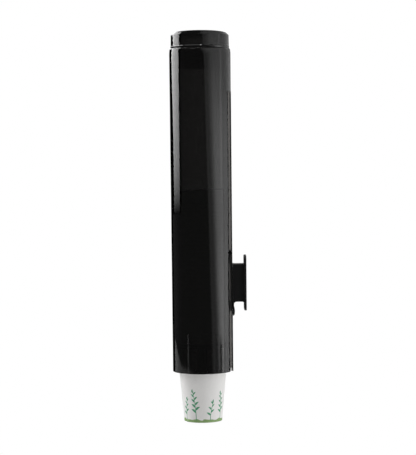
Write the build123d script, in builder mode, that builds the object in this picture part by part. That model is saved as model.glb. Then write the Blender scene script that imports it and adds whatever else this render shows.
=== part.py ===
# A wall-mounted dispenser for paper cups: a long tinted tube that hangs on a bracket,
# with a lift-off lid above, a stack of nested cups inside and one cup drawn out below.
#
# Millimetres. The origin is the centre of the bracket's wall face. +Z is up, +Y goes into
# the wall, and the tube's axis is vertical, axis_to_wall in front of the wall.
import math
import os

from build123d import *

os.makedirs("parts", exist_ok=True)

# Overall clearances
wall_standoff = 20.7  # the tube's rails to the wall face
running_gap = 0.3  # clearance between pieces that slide past each other
seat_gap = 0.1  # clearance under a piece that rests on another
cut_overrun = 5.0  # how far a cutting tool runs past what it cuts

# Paper cups, which set the size of the tube and of its throat
cup_height = 75.5
cup_rim_radius = 36.5
cup_bead_height = 2.5
cup_bead_width = 1.3
cup_paper = 0.25
cup_base_recess = 5.45
cup_glue = 0.05
served_rim_rise = 1.5  # how far the drawn cup's rim stands up inside the collar's lip
stack_rim_top = 120.0  # rim height of the last neatly nested cup
top_cup_rise = 18.0  # the last cup sits this far above the one below

# Tube
tube_top = 355.0
floor_low = -133.0  # lowest point of the coned floor, at the throat hole
floor_rise = 2.4  # from there up to the floor's outer corner
tube_room = 5.4  # cup rims to the bore at the tube's foot
tube_draft = 1.05  # how much larger the tube's radius is at the top than at the foot
tube_wall = 2.8
floor_wall = 1.6
floor_corner_inset = 0.7
floor_land = 1.0  # flat ring round the throat hole
shoulder_height = 5.5  # bevel at the tube's mouth
shoulder_inset = 1.9
flank_drop = 1.0  # rear edges of the flat flanks to the channel floor
flank_root = 3.0  # how deep the flanks are rooted in the round wall
flank_inset = 0.1  # how far a flank cuts into the round wall where it leaves it

# Channel down the back of the tube
rail_top = 285.0
rail_foot_rise = 2.0  # the rails' lower ends above the tube's lowest point
flat_room = 3.1  # cup rims to the flat inside the bore
channel_wall = 1.6
channel_depth = 4.5
rail_lip = 1.5  # thickness of the two inward lips
rail_half_width = 19.0
rail_side = 1.0
slot_half_width = 12.5
rail_root = 0.25  # how deep the rail sides are rooted in the tube wall
rail_corner_fillet = 0.7

# Bracket
plate_height = 81.5
plate_width = 48.0
plate_thickness = 3.5
plate_corner_fillet = 6.0
plate_edge_bevel = 0.8
web_height = 56.4
web_wall = 2.4
web_root_fillet = 3.0
head_height = 85.0
head_centre = 1.0  # height of the head's middle
head_plate = 1.6
head_pad_height = 14.2
head_corner_fillet = 3.0
bracket_shoulder = 1.7
bracket_shoulder_half_width = 17.0
bracket_shoulder_drop = 4.2  # how far the shoulder runs on below the web
shoulder_root_fillet = 3.8
screw_hole_radius = 2.25
screw_spacing = 34.0

# Brake tongue
tongue_length = 16.2
tongue_half_width = 14.0
tongue_thickness = 1.6
tongue_bulge = 1.3
tongue_neck = 2.6  # thin stretch between the root and the bulge
tongue_tip_bevel = 0.7
tongue_slot_half_width = 4.5
tongue_slot_height = 2.0

# Rail stop
stop_height = 6.0

# Lid
lid_height = 21.5
lid_inset = 0.2  # the lid's side to the edge of the tube's mouth
lid_draft = 0.9  # how much smaller the lid's radius is at its top
lid_crown = 2.6
lid_crown_land = 16.0  # width of the sloping ring between the flat top and the edge
lid_edge_bevels = (4.5, 1.6)  # the second bevel softens both corners of the first
lid_wall = 2.0
plug_length = 34.0
plug_fit = 0.5  # radial clearance in the tube's mouth
plug_lead = 0.6

# Throat collar
lip_drop = 0.5  # how far the lip stands out below the tube
collar_height = 44.0  # from the lip's lower edge to the top ring's upper edge
collar_room = 0.5  # cup rims to the lip's bore
collar_lip_wall = 1.2
collar_lip_height = 2.7
collar_fit = 0.4  # radial clearance to the tube's bore
collar_ring_height = 6.0
collar_ring_wall = 2.0
flange_edge = 0.6  # flat at the funnel's outer edge
post_width = 7.0
fin_width = 2.4
fin_rise = 16.0  # how far the guide fins stand above the top ring
throat_steps = 6  # fingers and fins alternate this many times round the throat

# Retaining fingers
finger_width = 14.0
finger_thickness = 1.1
finger_side_gap = 0.4  # clearance at each side of a finger in the funnel
finger_low_gap = 0.6  # inner face to the cup rims, at the catch
finger_rib_width = 1.6
finger_rib_depth = 1.0
finger_rib_inset = 4.0
catch_height = 1.5
catch_reach = 1.5  # how far the catch stands in from the finger
catch_chamfer = 0.5

# Tube round the cups, with distances measured from its axis
bore_foot_radius = cup_rim_radius + tube_room
tube_foot_radius = bore_foot_radius + tube_wall
tube_top_radius = tube_foot_radius + tube_draft
tube_corner = floor_low + floor_rise
bore_flat = cup_rim_radius + flat_room
channel_floor = bore_flat + channel_wall
rail_face = channel_floor + channel_depth
rail_bottom = floor_low + rail_foot_rise
flank_rear = channel_floor - flank_drop
rail_root_face = math.sqrt((tube_foot_radius - rail_root) ** 2 - rail_half_width**2)
collar_bore = cup_rim_radius + collar_room
lip_radius = collar_bore + collar_lip_wall
throat_hole_radius = lip_radius + running_gap

# Bracket, rail stop and tongue, which follow the channel
axis_to_wall = rail_face + wall_standoff
tube_axis = Axis((0, -axis_to_wall, 0), (0, 0, 1))
section_plane = Plane(origin=(0, -axis_to_wall, 0), x_dir=(1, 0, 0), z_dir=(0, -1, 0))
web_half_width = slot_half_width - running_gap
head_half_width = rail_half_width - rail_side - running_gap
head_back = rail_face - rail_lip - running_gap
head_top = head_centre + head_height / 2
shoulder_front = rail_face + running_gap
stop_bottom = head_top + running_gap
tongue_top = -web_height / 2 - bracket_shoulder_drop - running_gap

# Cup stack: the cups nest base on base, and their sides slope just enough to clear each other
cup_pitch = cup_base_recess + cup_paper + running_gap
side_slope = (cup_paper + running_gap) / cup_pitch
sleeve_top_radius = cup_rim_radius - cup_bead_width
cup_base_radius = sleeve_top_radius - side_slope * cup_height
collar_low = floor_low - lip_drop
served_rim_top = collar_low + served_rim_rise
next_rim_top = served_rim_top + cup_pitch
nested_cups_count = round((stack_rim_top - next_rim_top) / cup_pitch)
lowest_nested_rim_top = next_rim_top + cup_pitch
last_nested_rim_top = next_rim_top + cup_pitch * nested_cups_count
top_rim_top = last_nested_rim_top + top_cup_rise


def level(z):
    """Horizontal plane at height z, centred on the tube axis, with local Y towards the wall."""
    return Plane(origin=(0, -axis_to_wall, z), x_dir=(1, 0, 0), z_dir=(0, 0, 1))


def tube_radius_at(z):
    """Outer radius of the tapered tube at height z."""
    share = (z - tube_corner) / (tube_top - shoulder_height - tube_corner)
    return tube_foot_radius + (tube_top_radius - tube_foot_radius) * share


def keep(name, part):
    """Labels a finished piece and writes it as its own file."""
    part.label = name
    export_step(part, f"parts/{name}.step")


# Dispenser tube: the hollow inside it, round above the channel and flattened along it
bore_top_radius = tube_radius_at(tube_top) - tube_wall
bore_floor_edge = tube_corner - floor_corner_inset + floor_wall
with BuildPart() as tube_bore:
    with BuildSketch(section_plane):
        with BuildLine():
            Polyline(
                (0, floor_low - cut_overrun),
                (throat_hole_radius, floor_low - cut_overrun),
                (throat_hole_radius, floor_low + floor_wall),
                (bore_foot_radius, bore_floor_edge),
                (bore_top_radius, tube_top),
                (bore_top_radius, tube_top + cut_overrun),
                (0, tube_top + cut_overrun),
                close=True,
            )
        make_face()
    revolve(axis=tube_axis)
    with BuildSketch(level(floor_low - cut_overrun)):
        with Locations((0, bore_flat)):
            Rectangle(2 * tube_top_radius, tube_top_radius, align=(Align.CENTER, Align.MIN))
    extrude(amount=rail_top + channel_wall - floor_low + cut_overrun, mode=Mode.SUBTRACT)

# Flank: a flat side at 45 degrees that leaves the round wall and runs back to the channel
with BuildPart() as flank:
    for height in (rail_bottom, rail_top):
        touch = (tube_radius_at(height) - flank_inset) / math.sqrt(2)
        with BuildSketch(level(height)):
            with BuildLine():
                Polyline(
                    (touch, touch),
                    (2 * touch - flank_rear, flank_rear),
                    (rail_half_width - rail_side / 2, flank_rear),
                    (touch - flank_root, touch - flank_root),
                    close=True,
                )
            make_face()
    loft()

with BuildPart() as dispenser_tube:
    with BuildSketch(section_plane):
        with BuildLine():
            Polyline(
                (0, floor_low),
                (throat_hole_radius + floor_land, floor_low),
                (tube_foot_radius - floor_corner_inset, tube_corner - floor_corner_inset),
                (tube_foot_radius, tube_corner),
                (tube_top_radius, tube_top - shoulder_height),
                (tube_top_radius - shoulder_inset, tube_top),
                (0, tube_top),
                close=True,
            )
        make_face()
    revolve(axis=tube_axis)
    add(flank.part)
    mirror(flank.part, about=Plane.YZ)
    with BuildSketch(level(floor_low - cut_overrun)):
        with Locations((0, channel_floor)):
            Rectangle(2 * tube_top_radius, tube_top_radius, align=(Align.CENTER, Align.MIN))
    extrude(amount=rail_top - floor_low + cut_overrun, mode=Mode.SUBTRACT)
    with BuildSketch(level(rail_bottom)) as rail_section:
        with Locations((rail_half_width, rail_face)):
            Rectangle(rail_side, rail_face - rail_root_face, align=(Align.MAX, Align.MAX))
            Rectangle(rail_half_width - slot_half_width, rail_lip, align=(Align.MAX, Align.MAX))
        fillet(rail_section.vertices().group_by(Axis.Y)[-1].sort_by(Axis.X)[-1], rail_corner_fillet)
        mirror(about=Plane.YZ)
    extrude(amount=rail_top - rail_bottom)
    add(tube_bore.part, mode=Mode.SUBTRACT)
keep("dispenser_tube", dispenser_tube.part)

# Rail stop: the block, bonded into the channel, that rests on top of the bracket's head
with BuildPart() as rail_stop:
    with BuildSketch(level(stop_bottom)):
        with Locations((0, channel_floor)):
            Rectangle(
                2 * (rail_half_width - rail_side),
                rail_face - rail_lip - channel_floor,
                align=(Align.CENTER, Align.MIN),
            )
    extrude(amount=stop_height)
keep("rail_stop", rail_stop.part)

# Wall bracket: plate, hollow web, shoulder and T head
head_back_y = head_back - axis_to_wall
shoulder_front_y = shoulder_front - axis_to_wall
shoulder_back_y = shoulder_front_y + bracket_shoulder
pad_front_y = channel_floor + running_gap - axis_to_wall
head_front_y = head_back_y - head_plate
pocket_half_width = web_half_width - web_wall
pocket_height = web_height - 2 * web_wall


def wall_plane(y):
    """Vertical plane parallel to the wall at depth y, with its normal out of the wall."""
    return Plane(origin=(0, y, 0), x_dir=(1, 0, 0), z_dir=(0, -1, 0))


with BuildPart() as wall_bracket:
    with BuildSketch(wall_plane(0)):
        RectangleRounded(plate_width, plate_height, plate_corner_fillet)
    extrude(amount=plate_thickness)
    chamfer(wall_bracket.faces().sort_by(Axis.Y)[0].edges(), plate_edge_bevel)
    with BuildSketch(wall_plane(-plate_thickness)):
        Rectangle(2 * web_half_width, web_height)
    extrude(amount=-plate_thickness - head_front_y)
    with BuildSketch(wall_plane(shoulder_back_y)):
        with Locations((0, -bracket_shoulder_drop / 2)):
            Rectangle(2 * bracket_shoulder_half_width, web_height + bracket_shoulder_drop)
    extrude(amount=bracket_shoulder)
    for root_y, radius in ((-plate_thickness, web_root_fillet), (shoulder_back_y, shoulder_root_fillet)):
        web_edges = wall_bracket.edges().filter_by(Axis.X)
        fillet(web_edges.sort_by_distance((0, root_y, -web_height / 2))[0], radius)
    with BuildSketch(wall_plane(head_back_y)):
        with Locations((0, head_centre)):
            RectangleRounded(2 * head_half_width, head_height, head_corner_fillet)
    extrude(amount=head_back_y - pad_front_y)
    with BuildSketch(wall_plane(head_front_y)):
        with Locations((0, head_centre)):
            Rectangle(2 * head_half_width, head_height - 2 * head_pad_height)
    extrude(amount=head_front_y - pad_front_y, mode=Mode.SUBTRACT)
    with BuildSketch(wall_plane(-plate_thickness)):
        Rectangle(2 * pocket_half_width, pocket_height)
    extrude(amount=-plate_thickness - pad_front_y + cut_overrun, mode=Mode.SUBTRACT)
    with BuildSketch(wall_plane(0)):
        with GridLocations(0, screw_spacing, 1, 2):
            Circle(screw_hole_radius)
    extrude(amount=plate_thickness, mode=Mode.SUBTRACT)
keep("wall_bracket", wall_bracket.part)

# Brake tongue: a thumb tab on a thin neck, just behind the tube's rails
tongue_back_y = shoulder_front_y + tongue_thickness
bulge_top = tongue_top - tongue_neck
tongue_tip = tongue_top - tongue_length
with BuildPart() as brake_tongue:
    with BuildSketch(Plane.YZ) as tongue_side:
        with BuildLine():
            neck = Polyline(
                (tongue_back_y, bulge_top),
                (tongue_back_y, tongue_top),
                (shoulder_front_y, tongue_top),
                (shoulder_front_y, tongue_tip),
                (tongue_back_y, tongue_tip),
            )
            ThreePointArc(
                neck @ 1,
                (tongue_back_y + tongue_bulge, (bulge_top + tongue_tip) / 2),
                neck @ 0,
            )
        make_face()
        chamfer(tongue_side.vertices().group_by(Axis.Y)[0], tongue_tip_bevel)
    extrude(amount=tongue_half_width, both=True)
    with BuildSketch(wall_plane(shoulder_front_y)):
        with Locations((0, tongue_top - tongue_neck / 2)):
            Rectangle(2 * tongue_slot_half_width, tongue_slot_height)
    extrude(amount=tongue_thickness + tongue_bulge, both=True, mode=Mode.SUBTRACT)
keep("brake_tongue", brake_tongue.part)

# Lid: a crowned cap with a long plug below it, all one wall thick
lid_seat = tube_top + seat_gap
lid_top = tube_top + lid_height
lid_low_radius = tube_top_radius - shoulder_inset - lid_inset
lid_top_radius = lid_low_radius - lid_draft
plug_low = lid_seat - plug_length
plug_radius = bore_top_radius - plug_fit
plug_inside = plug_radius - lid_wall
crown_edge = lid_top - lid_crown
crown_foot_radius = lid_top_radius - lid_crown_land
lid_side_wall = lid_top_radius - plug_inside
lid_inside_bevel = lid_edge_bevels[0] + (math.sqrt(2) - 1) * lid_wall - lid_side_wall
with BuildPart() as lid:
    with BuildSketch(section_plane) as lid_section:
        with BuildLine():
            Polyline(
                (0, lid_top),
                (crown_foot_radius, lid_top),
                (lid_top_radius, crown_edge),
                (lid_low_radius, lid_seat),
                (plug_radius, lid_seat),
                (plug_radius, plug_low + plug_lead),
                (plug_radius - plug_lead, plug_low),
                (plug_inside, plug_low),
                (plug_inside, crown_edge - lid_wall - lid_inside_bevel),
                (plug_inside - lid_inside_bevel, crown_edge - lid_wall),
                (crown_foot_radius, lid_top - lid_wall),
                (0, lid_top - lid_wall),
                close=True,
            )
        make_face()
        for bevel in lid_edge_bevels:
            corners = lid_section.vertices().sort_by_distance((lid_top_radius, crown_edge))
            chamfer(corners[0 : 1 if bevel == lid_edge_bevels[0] else 2], bevel)
    revolve(axis=tube_axis)
keep("lid", lid.part)

# Throat collar: lip, funnel, posts, top ring and guide fins, flattened behind as the bore is
collar_radius = bore_foot_radius - collar_fit
collar_flat = bore_flat - collar_fit
lip_top = collar_low + collar_lip_height
floor_slope = (bore_floor_edge - floor_low - floor_wall) / (bore_foot_radius - throat_hole_radius)
flange_low = floor_low + floor_wall + seat_gap
flange_outer_low = flange_low + floor_slope * (collar_radius - throat_hole_radius)
funnel_top = lip_top + collar_radius - collar_bore - flange_edge
ring_top = collar_low + collar_height
ring_low = ring_top - collar_ring_height
window_half = finger_width / 2 + finger_side_gap
catch_top = next_rim_top - cup_bead_height - running_gap
finger_low = catch_top - catch_height
window_low = finger_low - running_gap


def ring_wall(z):
    """Section of the collar's wall at height z: the bore's outline drawn in by the fit."""
    with BuildSketch(level(z)) as wall:
        Circle(collar_radius)
        with Locations((0, collar_flat)):
            Rectangle(
                2 * collar_radius, collar_radius, align=(Align.CENTER, Align.MIN), mode=Mode.SUBTRACT
            )
        offset(amount=-collar_ring_wall, kind=Kind.INTERSECTION, mode=Mode.SUBTRACT)
    return wall.sketch


def spokes(z, width):
    """Radial strips at height z, one halfway between each two fingers."""
    with BuildSketch(level(z)) as strips:
        with PolarLocations(0, throat_steps, start_angle=180 / throat_steps):
            Rectangle(2 * collar_radius, width, align=(Align.MIN, Align.CENTER))
    return strips.sketch


with BuildPart() as throat_collar:
    with BuildSketch(section_plane):
        with BuildLine():
            Polyline(
                (collar_bore, collar_low),
                (lip_radius, collar_low),
                (lip_radius, flange_low),
                (throat_hole_radius, flange_low),
                (collar_radius, flange_outer_low),
                (collar_radius, funnel_top),
                (collar_radius - flange_edge, funnel_top),
                (collar_bore, lip_top),
                close=True,
            )
        make_face()
    revolve(axis=tube_axis)
    with BuildSketch(level(funnel_top - collar_height)):
        with Locations((0, collar_flat)):
            Rectangle(2 * collar_radius, collar_radius, align=(Align.CENTER, Align.MIN))
    extrude(amount=2 * collar_height, mode=Mode.SUBTRACT)
    with BuildSketch(level(window_low)):
        with PolarLocations(collar_radius, throat_steps):
            Rectangle(collar_radius, 2 * window_half)
    extrude(amount=cut_overrun, mode=Mode.SUBTRACT)
    post_low = flange_outer_low + flange_edge
    extrude(ring_wall(post_low) & spokes(post_low, post_width), amount=ring_low - post_low)
    extrude(ring_wall(ring_low), amount=collar_ring_height)
    extrude(ring_wall(ring_top) & spokes(ring_top, fin_width), amount=fin_rise)
keep("throat_collar", throat_collar.part)

# Retaining fingers: flat plates that lean in from the ring to a catch under the next cup's rim
finger_root = ring_low - running_gap
finger_face = cup_rim_radius + finger_low_gap
finger_root_face = collar_radius - (collar_ring_wall + finger_thickness) / 2
for number in range(throat_steps):
    turn = 360 * number / throat_steps
    finger_plane = section_plane.rotated((0, 0, turn))
    with BuildPart() as finger:
        with BuildSketch(finger_plane) as finger_section:
            with BuildLine():
                Polyline(
                    (finger_root_face, finger_root),
                    (finger_face, catch_top),
                    (finger_face - catch_reach, catch_top),
                    (finger_face - catch_reach, finger_low + catch_chamfer),
                    (finger_face - catch_reach + catch_chamfer, finger_low),
                    (finger_face + finger_thickness - catch_chamfer, finger_low),
                    (finger_face + finger_thickness, finger_low + catch_chamfer),
                    (finger_root_face + finger_thickness, finger_root),
                    close=True,
                )
            make_face()
        extrude(amount=finger_width / 2, both=True)
        with BuildSketch(finger_plane):
            with BuildLine():
                Polyline(
                    (finger_root_face + finger_thickness, finger_root - finger_rib_inset),
                    (finger_face + finger_thickness + finger_rib_depth, (finger_root + catch_top) / 2),
                    (finger_face + finger_thickness, finger_low + finger_rib_inset),
                    (finger_face, (finger_root + catch_top) / 2),
                    close=True,
                )
            make_face()
        extrude(amount=finger_rib_width / 2, both=True)
    keep(f"finger_{number + 1}", finger.part)

# Paper cups: the sleeve and the base disc are separate pieces of paper
bead_low_radius = sleeve_top_radius - side_slope * cup_bead_height


def paper_sleeve(rim_top):
    """Side of a cup with its rolled rim, standing on the tube axis."""
    with BuildPart() as sleeve:
        with BuildSketch(section_plane):
            with BuildLine():
                Polyline(
                    (cup_base_radius, rim_top - cup_height),
                    (bead_low_radius, rim_top - cup_bead_height),
                    (cup_rim_radius, rim_top - cup_bead_height),
                    (cup_rim_radius, rim_top),
                    (sleeve_top_radius - cup_paper, rim_top),
                    (cup_base_radius - cup_paper, rim_top - cup_height),
                    close=True,
                )
            make_face()
        revolve(axis=tube_axis)
    return sleeve.part


def paper_base(rim_top):
    """Base of a cup: a disc with a skirt, pushed up inside the sleeve."""
    low = rim_top - cup_height
    disc_low = low + cup_base_recess
    inside = cup_base_radius - cup_paper - cup_glue
    with BuildPart() as base:
        with BuildSketch(section_plane):
            with BuildLine():
                Polyline(
                    (0, disc_low),
                    (inside - cup_paper, disc_low),
                    (inside - cup_paper, low),
                    (inside, low),
                    (inside, disc_low + cup_paper),
                    (0, disc_low + cup_paper),
                    close=True,
                )
            make_face()
        revolve(axis=tube_axis)
    return base.part


keep("served_cup_sleeve", paper_sleeve(served_rim_top))
keep("served_cup_base", paper_base(served_rim_top))
keep("next_cup_sleeve", paper_sleeve(next_rim_top))
keep("next_cup_base", paper_base(next_rim_top))

# Nested cups: the rest of the stack in one piece, with a crest for each rim above the collar.
# The rims that stand inside the collar run together into one band.
nested_low = lowest_nested_rim_top - cup_height
nested_floor = last_nested_rim_top - cup_height + cup_base_recess + cup_paper
crest_heights = [
    lowest_nested_rim_top + step * cup_pitch - cup_bead_height / 2
    for step in range(nested_cups_count)
]
open_crests = [height for height in crest_heights if height > ring_top]
outline = [
    (0, nested_low),
    (cup_base_radius, nested_low),
    (bead_low_radius, lowest_nested_rim_top - cup_bead_height),
    (cup_rim_radius, lowest_nested_rim_top - cup_bead_height),
    (cup_rim_radius, open_crests[0] - cup_pitch),
]
for height in open_crests:
    outline.append((sleeve_top_radius, height - cup_pitch / 2))
    outline.append((cup_rim_radius, height))
with BuildPart() as nested_cups:
    with BuildSketch(section_plane):
        with BuildLine():
            Polyline(
                *outline,
                (cup_rim_radius, last_nested_rim_top),
                (sleeve_top_radius - cup_paper, last_nested_rim_top),
                (cup_base_radius - cup_paper + side_slope * (cup_base_recess + cup_paper), nested_floor),
                (0, nested_floor),
                close=True,
            )
        make_face()
    revolve(axis=tube_axis)
keep("nested_cups", nested_cups.part)

# Top cup: loosely dropped in, so it leans until it touches the cup below at both sides
loose_gap = side_slope * top_cup_rise - cup_paper
lean_height = cup_height - top_cup_rise
top_cup_lean = math.degrees(math.atan2(2 * (loose_gap - running_gap), lean_height))
lean_axis = Axis((0, -axis_to_wall, last_nested_rim_top - lean_height / 2), (1, 0, 0))
keep("top_cup_sleeve", paper_sleeve(top_rim_top).rotate(lean_axis, top_cup_lean))
keep("top_cup_base", paper_base(top_rim_top).rotate(lean_axis, top_cup_lean))
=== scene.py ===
# %% [markdown]
# # A wall-mounted paper cup dispenser
#
# The object is a long tube of smoke-tinted plastic with a lift-off lid. Paper cups stand
# nested inside it, and the lowest one hangs out below, ready to be pulled. A black bracket
# holds the tube off the wall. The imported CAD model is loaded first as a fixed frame: each
# piece made here goes where the frame's node is, in metres.

# %% Load the frame
import math

import bmesh
import bpy
import numpy as np
from mathutils import Matrix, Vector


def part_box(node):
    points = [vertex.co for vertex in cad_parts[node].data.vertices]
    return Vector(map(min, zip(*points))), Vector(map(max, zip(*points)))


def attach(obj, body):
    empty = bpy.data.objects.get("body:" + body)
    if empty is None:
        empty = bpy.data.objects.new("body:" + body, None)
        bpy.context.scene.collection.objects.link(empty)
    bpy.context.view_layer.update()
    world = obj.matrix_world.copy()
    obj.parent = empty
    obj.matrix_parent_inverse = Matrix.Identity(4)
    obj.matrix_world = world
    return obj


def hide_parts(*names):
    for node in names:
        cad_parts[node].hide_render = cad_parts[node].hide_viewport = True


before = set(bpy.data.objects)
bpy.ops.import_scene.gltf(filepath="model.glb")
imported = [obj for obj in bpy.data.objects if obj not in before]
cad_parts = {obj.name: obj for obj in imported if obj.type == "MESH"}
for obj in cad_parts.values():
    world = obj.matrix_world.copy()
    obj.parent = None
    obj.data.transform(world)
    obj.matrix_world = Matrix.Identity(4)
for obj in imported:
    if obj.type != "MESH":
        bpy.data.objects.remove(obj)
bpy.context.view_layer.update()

# %% [markdown]
# Every shape of revolution here stands on one axis, the tube's. The lid is fully round, so the
# middle of its box gives that axis. Lengths are written in millimetres and scaled once.

# %% Axis and unit
MM = 0.001
MERGE_DISTANCE = 0.002 * MM
CREASE_ANGLE = math.radians(35)
lid_low, lid_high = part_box("lid")
AXIS_Y = (lid_low[1] + lid_high[1]) / 2 / MM
print("tube axis", round(AXIS_Y, 2), "mm from the wall")

# %% [markdown]
# ## Surfaces as grids of points
#
# A thin-walled moulding can be made by joining primitives, but a profile carried round an axis
# or along a path gives clean, evenly spaced faces and exact sizes. So a shape is an array of
# points with rows and columns, and one function turns any such array into a mesh.


# %% Grid to mesh
def weld(mesh, *parts):
    """Fills a mesh with the faces of its parts, as one clean skin.

    Points that coincide, such as those at a pole, are merged, normals are turned outwards, and
    edges bent by more than the crease angle stay crisp while all others shade smooth.
    """
    work = bmesh.new()
    for part in parts:
        work.from_mesh(part)
    bmesh.ops.remove_doubles(work, verts=work.verts, dist=MERGE_DISTANCE)
    bmesh.ops.dissolve_degenerate(work, edges=work.edges, dist=MERGE_DISTANCE)
    bmesh.ops.recalc_face_normals(work, faces=work.faces)
    work.to_mesh(mesh)
    work.free()
    mesh.polygons.foreach_set("use_smooth", np.ones(len(mesh.polygons), dtype=bool))
    mesh.set_sharp_from_angle(angle=CREASE_ANGLE)


def surface(name, *grids, loop_rows=True, loop_columns=True):
    """Mesh of one or more grids of points in mm, each shaped (rows, columns, 3).

    Face (i, j) joins points (i, j), (i, j + 1), (i + 1, j + 1) and (i + 1, j). A looped
    direction also joins its last line to its first.
    """
    points, faces, count = [], [], 0
    for grid in grids:
        rows, columns = grid.shape[:2]
        i = np.arange(rows if loop_rows else rows - 1)[:, None]
        j = np.arange(columns if loop_columns else columns - 1)[None, :]
        row, row_next, j_next = i * columns, (i + 1) % rows * columns, (j + 1) % columns
        corners = (row + j, row + j_next, row_next + j_next, row_next + j)
        faces.append(np.stack(corners, axis=-1).reshape(-1, 4) + count)
        points.append(grid.reshape(-1, 3) * MM)
        count += rows * columns
    mesh = bpy.data.meshes.new(name)
    mesh.from_pydata(np.concatenate(points), [], np.concatenate(faces).tolist())
    weld(mesh, mesh)
    piece = bpy.data.objects.new(name, mesh)
    bpy.context.scene.collection.objects.link(piece)
    print(name, len(mesh.polygons), "faces")
    return piece


# %% [markdown]
# A moulding has no perfectly sharp edge. Each corner of a profile is eased by a quadratic curve
# that starts and ends a short reach from the corner, so that it catches a thin highlight. The
# straight runs between corners get support rows, or smooth shading would bend their reflections.


# %% Eased corners
def eased(corners, reach, closed=False, steps=5):
    """Profile through corners (n, 2) in mm, each corner c replaced by a quadratic curve.

    With a and b the points at the given reach before and after c, the curve is
    (1 - t)^2 a + 2 t (1 - t) c + t^2 b. A reach of zero keeps the corner, as do the two ends
    of an open profile.
    """
    corners = np.asarray(corners, dtype=float)
    reach = np.broadcast_to(reach, len(corners)).astype(float).copy()
    if not closed:
        reach[[0, -1]] = 0
    t = np.linspace(0, 1, steps)[:, None]
    pieces = []
    for index, (corner, length) in enumerate(zip(corners, reach)):
        if not length:
            pieces.append(corner[None])
            continue
        to_last = corners[index - 1] - corner
        to_next = corners[(index + 1) % len(corners)] - corner
        start = corner + to_last / np.linalg.norm(to_last) * length
        end = corner + to_next / np.linalg.norm(to_next) * length
        pieces.append((1 - t) ** 2 * start + 2 * t * (1 - t) * corner + t**2 * end)
    return np.concatenate(pieces)


def supported(profile, margin=0.12):
    """Adds a row at the margin from each end of a long straight run, so its shading stays flat.

    Each run from a to b gives a, a + (b - a) s and b - (b - a) s, with s the margin over the
    length. Runs of up to five margins keep a alone.
    """
    along = np.diff(profile, axis=0)
    length = np.linalg.norm(along, axis=1)
    share = margin / np.maximum(length, margin)
    steps = np.stack([np.zeros_like(share), share, 1 - share], axis=1)
    rows = profile[:-1, None] + along[:, None] * steps[:, :, None]
    kept = (length[:, None] > 5 * margin) | (np.arange(3) == 0)
    return np.concatenate([rows[kept], profile[-1:]])


# %% [markdown]
# Most pieces are round, so their grids are profiles turned about the axis. The tube is round in
# front only: its back is flat, with slanting flanks. Its points keep their angle and height, and
# only their radius is worked out anew. The back starts a tenth of a degree early, so that the
# points on its edge belong to it.

# %% Profiles turned round the axis
BACK_START = math.radians(45 - 0.1)


def turned(profile, columns=240, flat=None, flank=None):
    """Grid of a profile of (radius, height) rows turned about the tube's axis.

    x = r cos a, y = axis + r sin a, z = height. With flank given for each row as two distances,
    the back quarter is built out to a slanting plane and a rear plane: r is at least the lesser
    of sqrt 2 * slant / (|cos a| + sin a) and rear / sin a. With flat given for each row, the
    side towards the wall is then cut off at that distance: r is at most flat / sin a.
    """
    angle = np.linspace(0, 2 * np.pi, columns, endpoint=False)[None, :]
    radius = np.repeat(profile[:, :1], columns, axis=1)
    towards_wall = np.maximum(np.sin(angle), 1e-6)
    if flank is not None:
        slant, rear = np.asarray(flank).T[:, :, None]
        slanted = math.sqrt(2) * slant / (np.abs(np.cos(angle)) + towards_wall)
        built_out = np.minimum(slanted, rear / towards_wall)
        at_back = np.sin(angle) > math.sin(BACK_START)
        radius = np.where(at_back, np.maximum(radius, built_out), radius)
    if flat is not None:
        radius = np.minimum(radius, np.asarray(flat)[:, None] / towards_wall)
    height = np.repeat(profile[:, 1:], columns, axis=1)
    return np.stack([radius * np.cos(angle), AXIS_Y + radius * np.sin(angle), height], axis=-1)


# %% [markdown]
# ## Materials
#
# Colours are written as sRGB hex values, as a paint chart gives them, and one function turns
# them into the linear values that shaders use. Another adds a node with its settings and links.


# %% Colour and node helpers
def linear(hex_colour):
    """Linear RGBA of an sRGB hex colour: ((c + 0.055) / 1.055)^2.4, or c / 12.92 when dark."""
    srgb = np.array([int(hex_colour[i : i + 2], 16) / 255 for i in (1, 3, 5)])
    value = np.where(srgb <= 0.04045, srgb / 12.92, ((srgb + 0.055) / 1.055) ** 2.4)
    return (*value.tolist(), 1.0)


def node(tree, kind, settings=(), sources=(), **links):
    """Adds a node. settings fill its properties, or its input sockets by name or number.

    Sources feed sockets by number and links feed them by name, with _ for a space.
    """
    made = tree.nodes.new(kind)
    for key, value in dict(settings).items():
        if isinstance(key, str) and hasattr(made, key):
            setattr(made, key, value)
        else:
            made.inputs[key].default_value = value
    for number, source in dict(sources).items():
        tree.links.new(source, made.inputs[number])
    for key, source in links.items():
        tree.links.new(source, made.inputs[key.replace("_", " ")])
    return made


# Numbers of the sockets of a mix node that share a name: for colours, then for plain values.
COLOUR_A, COLOUR_B, COLOUR_OUT = 6, 7, 2
VALUE_A, VALUE_B, VALUE_OUT = 2, 3, 0


def material(name):
    """New material with an empty node tree, and its output node."""
    made = bpy.data.materials.new(name)
    made.use_nodes = True
    made.node_tree.nodes.clear()
    return made, made.node_tree, made.node_tree.nodes.new("ShaderNodeOutputMaterial")


def dress(piece, finish):
    """Puts one finish on a piece, as its only material."""
    piece.data.materials.clear()
    piece.data.materials.append(finish)


# %% [markdown]
# The tube and lid are styrene acrylonitrile (SAN), injection moulded and polished, with a smoke
# dye in the plastic. It is glass-clear apart from the dye, so it is made as clear plastic with
# absorption inside: one wall lets a thirteenth of the light through, and the long slanting paths
# at the silhouette look black. Painting it black would lose the cups inside. A bump drawn out
# along the tube stands for the slight flow marks of so long a moulding.

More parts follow.
